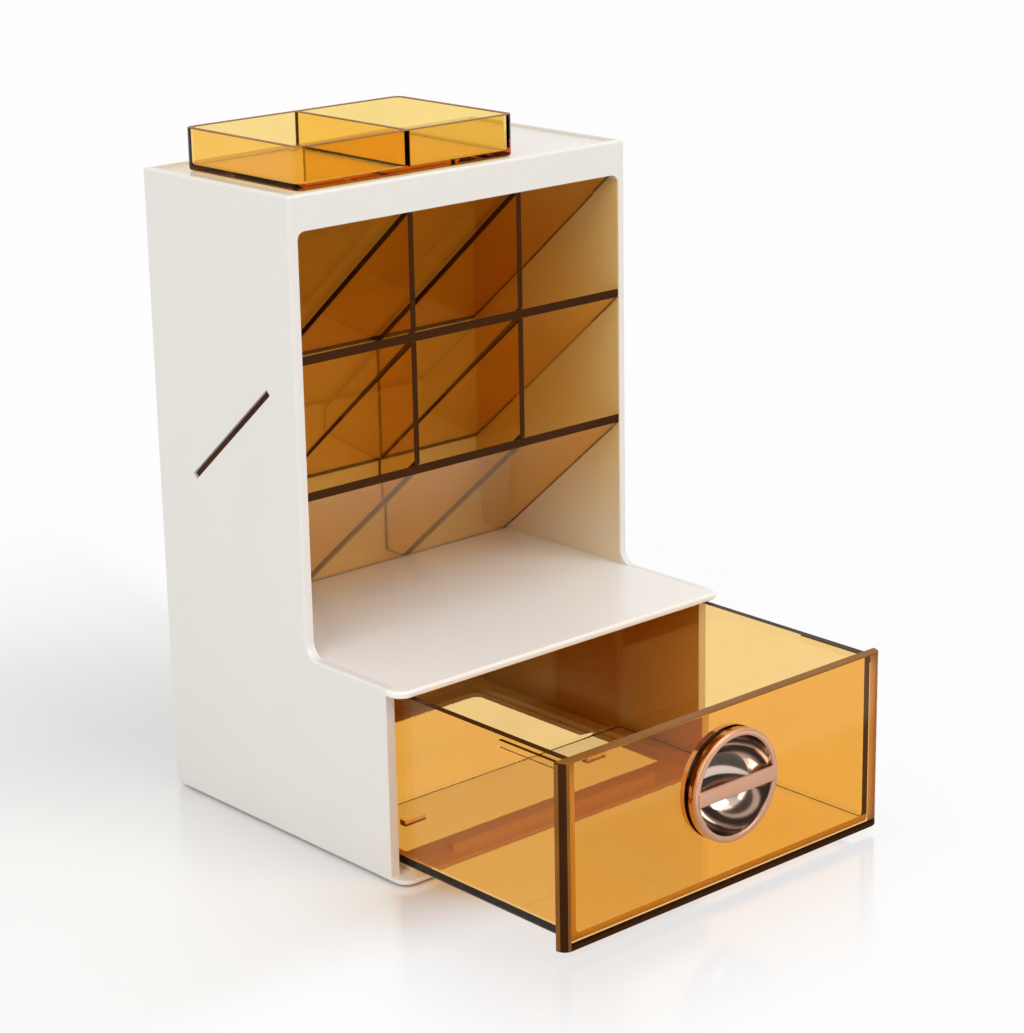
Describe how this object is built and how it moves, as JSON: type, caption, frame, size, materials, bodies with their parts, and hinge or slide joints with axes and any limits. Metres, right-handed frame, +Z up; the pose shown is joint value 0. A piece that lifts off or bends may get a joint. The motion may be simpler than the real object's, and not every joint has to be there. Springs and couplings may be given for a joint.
{
  "type": "brush holder with drawer",
  "caption": "L-shaped desk organiser with six slanted compartments for brushes, a pull-out drawer with a round recessed pull and a loose two-part tray on top.",
  "frame": {"origin": "centre of the bounding box's bottom face, on the floor, with the drawer at its rest opening", "axes": "+Z up, +X to the right seen from the front, +Y towards the back; the drawer opens towards -Y"},
  "size_m": [0.13, 0.1828, 0.2078],
  "materials": {
    "white_plastic": "smooth moulded, low gloss",
    "amber_plastic": "transparent, polished",
    "rose_gold": "polished plating",
    "clear_rubber": "matte"
  },
  "bodies": {
    "carcass": {"left_side_panel": "white_plastic", "right_side_panel": "white_plastic", "top_panel": "white_plastic", "deck_panel": "white_plastic", "base_panel": "white_plastic", "back_panel": "white_plastic", "upper_slant_sheet": "amber_plastic", "middle_slant_sheet": "amber_plastic", "lower_slant_sheet": "amber_plastic", "divider_left": "amber_plastic", "divider_right": "amber_plastic", "foot_front_left": "clear_rubber", "foot_front_right": "clear_rubber", "foot_back_left": "clear_rubber", "foot_back_right": "clear_rubber"},
    "drawer": {"drawer_tub": "amber_plastic", "drawer_front": "amber_plastic", "pull_cup": "rose_gold", "pull_bar": "rose_gold", "pull_retaining_ring": "rose_gold"},
    "tray": {"top_tray": "amber_plastic"}
  },
  "joints": [
    {"name": "drawer_slide", "type": "slide", "parent": "carcass", "child": "drawer", "axis": [0, -1, 0], "range_m": [-0.0681, 0.0181]},
    {"name": "tray_lift", "type": "slide", "parent": "carcass", "child": "tray", "axis": [0, 0, 1], "range_m": [0, 0.1]}
  ]
}
